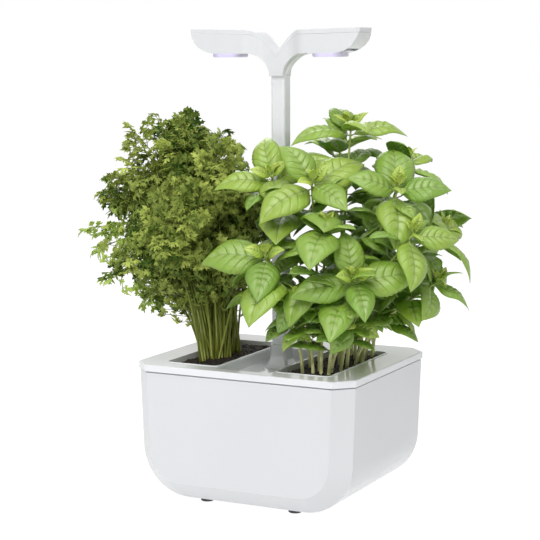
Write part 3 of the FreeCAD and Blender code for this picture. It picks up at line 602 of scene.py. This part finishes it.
class GARDEN_OT_cover_ducts(bpy.types.Operator):
    """Closes the lead's duct with a thin strip under the bend of each lamp arm"""
    bl_idname = "garden.cover_ducts"
    bl_label = "Cover the ducts"

    # The part of the bend that the strip follows, in degrees, and the strip's own measures

    first_angle, swept = 2, 84
    ridge_height, lift, thickness = 0.0026, 0.0001, 0.0009
    search = 0.06

    def execute(self, context):
        house = settings("housing")
        copy = bmesh.new()
        copy.from_mesh(frame["nodes"]["lamp_lower_shell"].data)
        shell = BVHTree.FromBMesh(copy)
        copy.free()
        for name, side in (("left", -1), ("right", 1)):
            centre = Vector((side * house.cover_centre, mast_y + house.cover_width * 0.8, mast_high.z))
            whole = bmesh.new()
            bmesh.ops.create_grid(whole, x_segments=28, y_segments=8, size=0.5)
            for vert in whole.verts:
                angle = math.radians(self.first_angle + self.swept * (vert.co.x + 0.5))
                ridge = math.sqrt(max(0.0, math.cos(math.pi * vert.co.x) * math.cos(math.pi * vert.co.y)))
                away = Vector((-side * math.cos(angle), 0, math.sin(angle)))
                hit = shell.ray_cast(centre, away, self.search)[0] or centre + away * house.cover_centre * 0.8
                place = hit - away * (self.lift + self.ridge_height * ridge)
                vert.co = Vector((place.x, mast_y + vert.co.y * house.cover_width, place.z))
            bmesh.ops.recalc_face_normals(whole, faces=whole.faces[:])
            middle = min(whole.faces, key=lambda f: (f.calc_center_median() - centre).length)
            if middle.normal.dot(centre - middle.calc_center_median()) < 0:
                bmesh.ops.reverse_faces(whole, faces=whole.faces[:])
            finish = bpy.data.materials["lamp_white"]
            cover = keep_piece("lamp_duct_cover_" + name, whole, finish, "lamp")
            thicken(cover, self.thickness)
        return {"FINISHED"}


class GARDEN_OT_fill_soil(bpy.types.Operator):
    """Crumbles the top of the soil in both planting blocks"""
    bl_idname = "garden.fill_soil"
    bl_label = "Fill the soil"

    tray_gap = 0.0006
    corner = 0.0036
    depth = 0.0012
    bumps = ((160, 0.0011), (420, 0.0009), (50, 0.001))    # how close together, and how high
    crumbs = 170
    crumb_radius = (0.0006, 0.0017)
    crumb_lift = 0.0004

    def surface(self, low, high, seed):
        """An uneven sheet that fills the block, with rounded corners, closed below."""
        size = high - low
        middle = (low + high) / 2
        whole = bmesh.new()
        bmesh.ops.create_grid(whole, x_segments=44, y_segments=112, size=0.5)
        for vert in whole.verts:
            x, y = vert.co.x * (size.x - self.tray_gap), vert.co.y * (size.y - self.tray_gap)
            dx, dy = abs(x) - size.x / 2 + self.corner, abs(y) - size.y / 2 + self.corner
            if dx > 0 and dy > 0:
                pull = min(1.0, self.corner / math.hypot(dx, dy))
                x -= math.copysign(dx * (1 - pull), x)
                y -= math.copysign(dy * (1 - pull), y)
            at = Vector((middle.x + x, middle.y + y, seed))
            rough = sum(noise.noise(at * scale) * height for scale, height in self.bumps)
            vert.co = Vector((at.x, at.y, high.z + soil_mound + rough))
        lower = bmesh.ops.extrude_face_region(whole, geom=whole.faces[:])
        for vert in lower["geom"]:
            if isinstance(vert, bmesh.types.BMVert):
                vert.co.z = high.z - self.depth
        bmesh.ops.recalc_face_normals(whole, faces=whole.faces[:])
        return whole

    def execute(self, context):
        finish = bpy.data.materials["earth"]
        for name, seed in (("parsley", 3), ("basil", 5)):
            low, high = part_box(name + "_soil")
            size = high - low
            middle = (low + high) / 2
            whole = self.surface(low, high, seed)
            chance = random.Random(seed)
            for i in range(self.crumbs):
                crumb = bmesh.new()
                bmesh.ops.create_icosphere(crumb, subdivisions=1, radius=1.0)
                x = chance.uniform(-0.48, 0.48) * size.x * 0.94
                y = chance.uniform(-0.48, 0.48) * size.y * 0.97
                radius = chance.uniform(*self.crumb_radius)
                axis = (chance.uniform(0, any_turn), 4, Vector((chance.random(), chance.random(), 1)))
                shape = Matrix.Diagonal((radius, radius * chance.uniform(0.6, 1), radius * 0.7, 1))
                place = Matrix.Translation((middle.x + x, middle.y + y, high.z + soil_mound + self.crumb_lift))
                bmesh.ops.transform(crumb, matrix=place @ Matrix.Rotation(*axis) @ shape, verts=crumb.verts[:])
                join_part(whole, crumb)
            keep_piece(name + "_soil_crumbs", whole, finish, name + "_block")
        return {"FINISHED"}


# Basil

blade_outline = (
    (0.0, 0.0), (0.04, 0.05), (0.08, 0.24), (0.13, 0.5), (0.2, 0.74), (0.3, 0.92), (0.4, 1.0), (0.5, 0.99),
    (0.6, 0.92), (0.7, 0.79), (0.8, 0.58), (0.88, 0.37), (0.94, 0.19), (1.0, 0.0),
)
outline_v = [v for v, w in blade_outline]
outline_w = [w for v, w in blade_outline]

# A leaf's measures as shares of its length, and the length for which the pucker is set

blade_width = (0.28, 0.33)
blade_arch = (0.06, 0.11)
blade_bend = (-0.14, 0.14)
usual_length = 0.045


def basil_point(u, v, length, width, arch, pucker, wave, bend):
    """A point of the blade, from its place across (-1 to 1) and along (0 to 1)."""
    tooth_depth, ripple_height, droop_depth, droop_from = 0.025, 0.05, 0.64, 0.55
    s = abs(u)
    body = float(np.interp(v, outline_v, outline_w))
    half = body * width
    phase = v * vein_count - vein_slope * s ** vein_curve
    tooth = 1 + tooth_depth * math.cos(2 * math.pi * phase * 2) * s ** 4
    valley = 0.5 * s - 0.62 * s * s
    fade = min(1.0, max(0.0, (0.9 - v) / 0.25))
    swell = abs(math.sin(math.pi * (phase - 0.5))) * math.sin(math.pi * min(s * 1.05, 1.0))
    ripple = ripple_height * width * math.sin(v * 11 + wave + (2.2 if u > 0 else 0)) * s * s
    droop = droop_depth * length * max(0.0, v - droop_from) ** 2
    z = 4 * arch * length * v * (1 - v) + valley * half + (fade * swell * pucker + ripple) * body - droop
    return u * half * tooth + bend * length * v * (1 - v), v * length, z


class GARDEN_OT_grow_basil(bpy.types.Operator):
    """Grows the basil's leaves on its CAD leaves, and its stems with their leaf stalks"""
    bl_idname = "garden.grow_basil"
    bl_label = "Grow the basil"

    stalk_radius = 0.00065
    stalk_back = 0.0018
    side_stalk = 0.006
    side_radius = 0.0006
    side_length = (0.026, 0.04)
    crown_length = (0.008, 0.012)
    crown_leaves = 4
    crown_drop = 0.003
    low_leaves = 0.036
    stem_swell = 1.15
    bud_length, growth = 0.017, 0.02
    pale_from, pale_to = 0.09, 0.02
    # The stem's own pale base and greener top, both painted lighter as painted light against the shade of the canopy
    # above
    stem_foot = (0.84, 0.84, 0.40)
    stem_top = (0.46, 0.58, 0.14)

    def blade_mesh(self, across, along):
        """A flat blade of so many strips, with its place across and along in its UV map."""
        blade = bmesh.new()
        uv = blade.loops.layers.uv.new("leaf")
        bmesh.ops.create_grid(blade, x_segments=across, y_segments=along, size=0.5)
        for face in blade.faces:
            for loop in face.loops:
                loop[uv].uv = (loop.vert.co.x + 0.5, loop.vert.co.y + 0.5)
        template = bpy.data.meshes.new("blade")
        blade.to_mesh(template)
        blade.free()
        return template

    def leaf(self, leaves, stems, template, place, age, chance):
        base, along, across, up, length = place
        part = bmesh.new()
        part.from_mesh(template)
        layer = part.verts.layers.float.new("age")
        width = length * chance.uniform(*blade_width)
        shape = (chance.uniform(*blade_arch), settings("basil").pucker * length / usual_length,
                 chance.uniform(0, any_turn), chance.uniform(*blade_bend))
        twist = chance.uniform(-0.35, 0.35)
        for vert in part.verts:
            u, v = vert.co.x * 2, vert.co.y + 0.5
            x, y, z = basil_point(u, v, length, width, *shape)
            turn = twist * v
            x, z = x * math.cos(turn) - z * math.sin(turn), x * math.sin(turn) + z * math.cos(turn)
            vert.co = base + along * y + across * x + up * z
            vert[layer] = age
        bmesh.ops.remove_doubles(part, verts=part.verts[:], dist=merge_distance)
        join_part(leaves, part)
        _, y, z = basil_point(0, 0.1, length, width, *shape)
        add_twig(stems, base - along * self.stalk_back, base + along * y + up * (z - 0.0003), self.stalk_radius)

    def side_leaf(self, leaves, stems, template, start, around, rise, length, age, chance):
        """A leaf on a short stalk of its own, where it keeps to its own side."""
        out = Vector((math.cos(around), math.sin(around), 0))
        along = (out * math.cos(rise) + Vector((0, 0, math.sin(rise)))).normalized()
        across = Vector((-out.y, out.x, 0))
        base = start + along * self.side_stalk
        if not on_own_side(base + along * length, 1) or not on_own_side(base, 1):
            return
        add_twig(stems, start, base, self.side_radius)
        self.leaf(leaves, stems, template, (base, along, across, across.cross(-along), length), age, chance)

    def execute(self, context):
        herb = settings("basil")
        chance = random.Random(11)
        large, small = self.blade_mesh(12, 26), self.blade_mesh(6, 10)
        leaves, inner, stems = bmesh.new(), bmesh.new(), bmesh.new()
        leaves.verts.layers.float.new("age")
        inner.verts.layers.float.new("age")
        for points in loose_solids("basil_leaves"):
            base, along, across, up, length = leaf_place(points)
            grown = min(1.0, max(0.0, (length - self.bud_length) / self.growth))
            low = (base + along * length).z < lid_top + self.low_leaves
            for share in (0.82,) if low else (1.2, 1.15, 1.1, 1.05):
                if grown > 0.3 and on_own_side(base + along * length * share, 1):
                    length *= share
                    break
            age = min(1.0, max(0.0, grown * 0.6 + chance.uniform(-0.1, 0.4)))
            self.leaf(leaves, stems, large, (base, along, across, up, length), age, chance)
        for points in loose_solids("basil_stems"):
            rings = stalk_rings(points)
            line = smooth_line([c for c, r in rings])
            place = np.linspace(0, len(rings) - 1, len(line))
            radii = np.interp(place, range(len(rings)), [r for c, r in rings])
            line[0].z -= stalk_sink
            add_tube(stems, line, [float(r) * self.stem_swell for r in radii], 8)
            around = chance.uniform(0, any_turn)
            for i in range(herb.side_pairs):
                at = 0.4 + 0.5 * i / herb.side_pairs
                start = line[int(at * (len(line) - 1))]
                around += quarter_turn + chance.uniform(-0.4, 0.4)
                for turn in (0, math.pi):
                    self.side_leaf(inner, stems, small, start, around + turn, math.radians(chance.uniform(-25, 40)),
                                   chance.uniform(*self.side_length), chance.uniform(0.75, 1.0), chance)
            bud = line[-1] - Vector((0, 0, self.crown_drop))
            for i in range(self.crown_leaves):
                self.side_leaf(inner, stems, small, bud, around + i * quarter_turn,
                               math.radians(68 - 9 * (i % 2)), chance.uniform(*self.crown_length), 0.0, chance)
        for template in (large, small):
            bpy.data.meshes.remove(template)
        finish = basil_leaf()
        leaf = keep_piece("basil_foliage", leaves, finish, "basil_block", ["basil_leaves"])
        thicken(leaf, herb.thickness)
        thicken(keep_piece("basil_inner_foliage", inner, finish, "basil_block"), herb.thickness)
        finish = green_stalk("basil_stem", self.stem_foot, self.stem_top, soil_top + self.pale_to,
                             soil_top + self.pale_from)
        keep_piece("basil_branches", stems, finish, "basil_block", ["basil_stems"])
        return {"FINISHED"}


# Parsley

leaflet_half = (
    (0.03, 0.0), (0.08, 0.22), (0.34, 0.22), (0.5, 0.46), (0.17, 0.5), (0.34, 0.78), (0.12, 0.8), (0.0, 1.0),
)


class GARDEN_OT_grow_parsley(bpy.types.Operator):
    """Grows the parsley's divided leaves on its CAD stalks"""
    bl_idname = "garden.grow_parsley"
    bl_label = "Grow the parsley"

    leaflet_dome = 0.05
    rachis_radius = 0.00035
    twig_radius = 0.0003
    stalk_radius = (0.0008, 0.0013)
    spray_reach, spray_shrink = 0.028, 0.012
    end_reach = 0.012
    fading_stalks = 5
    pale_from = 0.08
    stalk_foot = (0.34, 0.37, 0.06)
    stalk_top = (0.16, 0.22, 0.02)

    def leaflet_mesh(self):
        """A lobed leaflet of unit length, a little domed, with its base at the origin."""
        full_turn = 6.2832
        outline = [(x, y) for x, y in leaflet_half] + [(-x, y) for x, y in leaflet_half[-2::-1]]
        blade = bmesh.new()
        bmesh.ops.create_circle(blade, cap_ends=True, cap_tris=True, segments=len(outline), radius=1.0)
        rim = [v for v in blade.verts if v.co.length > 0.5]
        rim.sort(key=lambda v: math.atan2(v.co.x, -v.co.y) % full_turn)
        for vert in blade.verts:
            vert.co = (0, 0.5, self.leaflet_dome)
        for vert, (x, y) in zip(rim, outline):
            vert.co = (x, y, 0.0)
        bmesh.ops.recalc_face_normals(blade, faces=blade.faces[:])
        if blade.faces[0].normal.z < 0:
            bmesh.ops.reverse_faces(blade, faces=blade.faces[:])
        template = bpy.data.meshes.new("leaflet")
        blade.to_mesh(template)
        blade.free()
        return template

    def leaflet(self, leaves, template, place, size, age, chance):
        base, along, across, up = place
        if not on_own_side(base + along * size, -1) or not on_own_side(base, -1):
            return
        part = bmesh.new()
        part.from_mesh(template)
        layer = part.verts.layers.float.new("age")
        cup, curl = chance.uniform(-1.1, 0.5), chance.uniform(-0.8, 0.3)
        lift = chance.uniform(0.03, 0.09)
        for vert in part.verts:
            x, y, z = vert.co
            z += cup * x * x * 2 + curl * y * y + lift * math.sin(y * 17 + x * 9)
            vert.co = base + (along * y + across * x + up * z) * size
            vert[layer] = age
        join_part(leaves, part)

    def spray(self, leaves, stalks, template, place, reach, age, chance):
        """A small rachis with an end leaflet and two pairs beside it."""
        base, along, across, up = place
        length = settings("parsley").leaflet
        tip = base + along * reach
        if not on_own_side(tip, -1):
            return
        add_twig(stalks, base, tip, self.rachis_radius)
        self.leaflet(leaves, template, (tip, along, across, up), length * chance.uniform(0.85, 1.15), age, chance)
        for share, size in ((0.97, 0.85), (0.5, 0.8)):
            for side in (-1, 1):
                angle = math.radians(chance.uniform(40, 62))
                out = (along * math.cos(angle) + across * side * math.sin(angle)
                       + up * chance.uniform(-0.35, 0.3)).normalized()
                cross = out.cross(up).normalized()
                level = cross.cross(out)
                twig = base + along * reach * share
                start = twig + out * length * 0.18
                add_twig(stalks, twig, start, self.twig_radius)
                self.leaflet(leaves, template, (start, out, cross, level),
                             length * size * chance.uniform(0.85, 1.15), age, chance)

    def cad_paths(self):
        """A path along each CAD stalk, and on into its spray."""
        sprays = [leaf_place(p) for p in loose_solids("parsley_leaves")]
        paths = []
        for points in loose_solids("parsley_stalks"):
            centres = [c for c, r in stalk_rings(points)]
            spray = min(sprays, key=lambda s: (s[0] - centres[-1]).length)
            paths.append(centres + [spray[0], spray[0] + spray[1] * spray[4] * 0.55])
        return paths

    def between_paths(self, grown, chance):
        """Further paths, each between a CAD stalk and one of its neighbours, rooted anywhere in the soil."""
        soil_low, soil_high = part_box("parsley_soil")
        between = []
        for path in grown:
            near = sorted(range(len(grown)), key=lambda j: (grown[j][-1] - path[-1]).length)
            for j in near[1:1 + settings("parsley").neighbours]:
                share = chance.uniform(0.35, 0.65)
                slack = Vector([chance.uniform(-0.005, 0.005) for k in range(3)])
                line = [a.lerp(b, share) + slack * min(k, 2) for k, (a, b) in enumerate(zip(path, grown[j]))]
                root = Vector((chance.uniform(soil_low.x + 0.007, soil_high.x - 0.007),
                               chance.uniform(soil_low.y + 0.012, soil_high.y - 0.03), line[0].z))
                spread = root - line[0]
                for k, part in ((0, 0.6), (1, 0.35), (2, 0.15)):
                    line[k] += spread * part
                line[-1] += (line[-1] - line[-2]) * chance.uniform(-0.3, 0.7)
                between.append(line)
        return between

    def side_sprays(self, leaves, stalks, template, line, faded, age, chance):
        """Pairs of sprays along the upper part of a stalk, each turned to face outwards and up."""
        pairs = settings("parsley").pairs
        count = len(line)
        lowest = chance.uniform(0.24, 0.45)
        for i in range(pairs + 1):
            at = lowest + (1 - lowest) * i / pairs
            k = min(int(at * (count - 1)), count - 2)
            start = line[k]
            ahead = (line[k + 1] - line[max(k - 1, 0)]).normalized()
            outward = (start - parsley_middle).normalized()
            cross = ahead.cross(outward + Vector((0, 0, 0.2))).normalized()
            level = cross.cross(ahead)
            spin = chance.uniform(-1.3, 1.3)
            cross = cross * math.cos(spin) + level * math.sin(spin)
            reach = self.spray_reach - self.spray_shrink * i / pairs
            for side in (-1, 1):
                angle = math.radians(chance.uniform(40, 75))
                out = (ahead * math.cos(angle) + cross * side * math.sin(angle)).normalized()
                stray = Vector([chance.uniform(-0.6, 0.6) for k in range(3)])
                wide = out.cross(outward + Vector((0, 0, 0.45)) + stray).normalized()
                tone = 0.0 if faded and i > 1 else min(1.0, age * 0.6 + chance.uniform(0.05, 0.4))
                self.spray(leaves, stalks, template, (start, out, wide, wide.cross(out)),
                           reach * chance.uniform(0.7, 1.2), tone, chance)

    def execute(self, context):
        herb = settings("parsley")
        chance = random.Random(23)
        template = self.leaflet_mesh()
        stalks = bmesh.new()
        crowns = [bmesh.new() for k in range(3)]
        for crown in crowns:
            crown.verts.layers.float.new("age")
        grown = self.cad_paths()
        paths = grown + self.between_paths(grown, chance)
        fading = sorted(paths, key=lambda p: p[-1].x + 0.7 * p[-1].z + 0.3 * p[-1].y)[:self.fading_stalks]
        for number, path in enumerate(paths):
            line = smooth_line(path)
            count = len(line)
            line[0].z -= stalk_sink
            leaves = crowns[number % len(crowns)]
            thick = chance.uniform(*self.stalk_radius)
            add_tube(stalks, line, [thick * (1 - 0.6 * i / (count - 1)) for i in range(count)], 6)
            age = chance.uniform(0.2, 1.0)
            faded = path in fading
            self.side_sprays(leaves, stalks, template, line, faded, age, chance)
            ahead = (line[-1] - line[-2]).normalized()
            wide = ahead.cross((line[-1] - parsley_middle).normalized() + Vector((0, 0, 0.6))).normalized()
            self.spray(leaves, stalks, template, (line[-1], ahead, wide, wide.cross(ahead)), self.end_reach,
                       0.0 if faded else age, chance)
        bpy.data.meshes.remove(template)
        finish = parsley_leaf()
        for letter, crown in zip("abc", crowns):
            replaced = ["parsley_leaves"] if letter == "a" else []
            leaf = keep_piece("parsley_foliage_" + letter, crown, finish, "parsley_block", replaced,
                              smooth=False)
            thicken(leaf, herb.thickness)
        finish = green_stalk("parsley_stalk", self.stalk_foot, self.stalk_top, soil_top, soil_top + self.pale_from)
        keep_piece("parsley_branches", stalks, finish, "parsley_block", ["parsley_stalks"])
        return {"FINISHED"}


# Stage

# Each light's share of the key light's power, its size and its place

light_rows = (
    ("key", 1.0, 1.0, (0.4, -1.5, 1.4)),
    ("fill", 0.02, 1.2, (-1.3, -0.9, 0.8)),
    ("top", 0.55, 0.8, (0.35, -0.35, 1.95)),
    ("rim", 0.4, 1.0, (-0.9, 1.2, 1.2)),
)
light_target = Vector((0, 0, 0.22))
camera_place = (0.67162, -1.34918, 0.40571)
camera_turn, camera_tilt, camera_roll = 26.9, 82.57, -0.22
camera_lens = 108.8


class GARDEN_OT_set_stage(bpy.types.Operator):
    """Sets the floor, the light from all round, the lamps and the camera"""
    bl_idname = "garden.set_stage"
    bl_label = "Set the stage"

    def seen(self, tree):
        """One for rays that show the backdrop: from the camera, off gloss or through glass."""
        rays = node(tree, "ShaderNodeLightPath").outputs
        bounced = maths(tree, "MAXIMUM", rays["Is Glossy Ray"], rays["Is Transmission Ray"])
        return maths(tree, "MAXIMUM", rays["Is Camera Ray"], bounced)

    def floor(self, stage):
        whole = bmesh.new()
        bmesh.ops.create_circle(whole, cap_ends=True, segments=96, radius=stage.floor_size)
        mesh = bpy.data.meshes.new("floor")
        whole.to_mesh(mesh)
        whole.free()
        piece = bpy.data.objects.new("floor", mesh)
        bpy.context.scene.collection.objects.link(piece)
        made, tree, shader = material("pale_floor")
        fit(tree, shader, {"Base Color": (*stage.backdrop, 1), "Roughness": 0.9})
        paper = node(tree, "ShaderNodeEmission", {"Color": (1, 1, 1, 1), "Strength": 1.2})
        share = span(tree, self.seen(tree), 0.0, 1.0, 0.25, 0.78)
        blend = node(tree, "ShaderNodeMixShader", {0: share, 1: shader.outputs[0], 2: paper.outputs[0]})
        fit(tree, tree.nodes["Material Output"], {"Surface": blend.outputs[0]})
        mesh.materials.append(made)

    def surroundings(self, stage):
        world = bpy.data.worlds.new("studio")
        bpy.context.scene.world = world
        world.use_nodes = True
        tree = world.node_tree
        tree.nodes.clear()
        lit = node(tree, "ShaderNodeBackground", {"Color": (0.97, 0.985, 1.0, 1), "Strength": stage.ambient})
        white = node(tree, "ShaderNodeBackground", {"Color": (1, 1, 1, 1), "Strength": 1.0})
        blend = node(tree, "ShaderNodeMixShader", {0: self.seen(tree), 1: lit.outputs[0], 2: white.outputs[0]})
        node(tree, "ShaderNodeOutputWorld", {"Surface": blend.outputs[0]})

    def lamp(self, name, power, size, place):
        data = bpy.data.lights.new(name, "AREA")
        data.shape = "DISK"
        data.size = size
        data.energy = power
        lamp = bpy.data.objects.new(name, data)
        lamp.location = place
        lamp.rotation_euler = (light_target - Vector(place)).to_track_quat("-Z", "Y").to_euler()
        bpy.context.scene.collection.objects.link(lamp)

    def camera(self, scene):
        data = bpy.data.cameras.new("camera")
        data.sensor_width = 36.0
        data.lens = camera_lens
        data.clip_end = 50.0
        camera = bpy.data.objects.new("camera", data)
        turn, tilt, roll = (Matrix.Rotation(math.radians(angle), 4, axis) for angle, axis in (
            (camera_turn, "Z"), (camera_tilt, "X"), (camera_roll, "Z")))
        camera.matrix_world = Matrix.Translation(camera_place) @ (turn @ tilt) @ roll
        scene.collection.objects.link(camera)
        scene.camera = camera

    def execute(self, context):
        stage = settings("stage")
        self.floor(stage)
        self.surroundings(stage)
        for name, share, size, place in light_rows:
            self.lamp(name, stage.key * share, size, place)
        self.camera(context.scene)
        context.scene.view_settings.view_transform = "Standard"
        return {"FINISHED"}


class GARDEN_PT_panel(bpy.types.Panel):
    """Lists the garden's steps and settings"""
    bl_label = "Garden"
    bl_idname = "GARDEN_PT_panel"
    bl_space_type = "VIEW_3D"
    bl_region_type = "UI"
    bl_category = "Garden"

    def draw(self, context):
        for name, step in steps:
            box = self.layout.box()
            box.operator(step)
            group = getattr(context.scene, name)
            for prop in group.bl_rna.properties.keys():
                if prop not in ("rna_type", "name"):
                    box.prop(group, prop)


groups = (
    ("housing", HousingSettings),
    ("basil", BasilSettings),
    ("parsley", ParsleySettings),
    ("stage", StageSettings),
)
steps = (
    ("housing", "garden.finish_housing"),
    ("housing", "garden.cover_ducts"),
    ("housing", "garden.fill_soil"),
    ("basil", "garden.grow_basil"),
    ("parsley", "garden.grow_parsley"),
    ("stage", "garden.set_stage"),
)
classes = (
    GARDEN_OT_finish_housing,
    GARDEN_OT_cover_ducts,
    GARDEN_OT_fill_soil,
    GARDEN_OT_grow_basil,
    GARDEN_OT_grow_parsley,
    GARDEN_OT_set_stage,
    GARDEN_PT_panel,
)


def register():
    for name, group in groups:
        bpy.utils.register_class(group)
        setattr(bpy.types.Scene, name, bpy.props.PointerProperty(type=group))
    for cls in classes:
        bpy.utils.register_class(cls)


def unregister():
    for cls in reversed(classes):
        bpy.utils.unregister_class(cls)
    for name, group in reversed(groups):
        delattr(bpy.types.Scene, name)
        bpy.utils.unregister_class(group)


def main():
    register()
    bpy.ops.garden.finish_housing()
    bpy.ops.garden.cover_ducts()
    bpy.ops.garden.fill_soil()
    bpy.ops.garden.grow_basil()
    bpy.ops.garden.grow_parsley()
    bpy.ops.garden.set_stage()


if __name__ == "__main__":
    main()
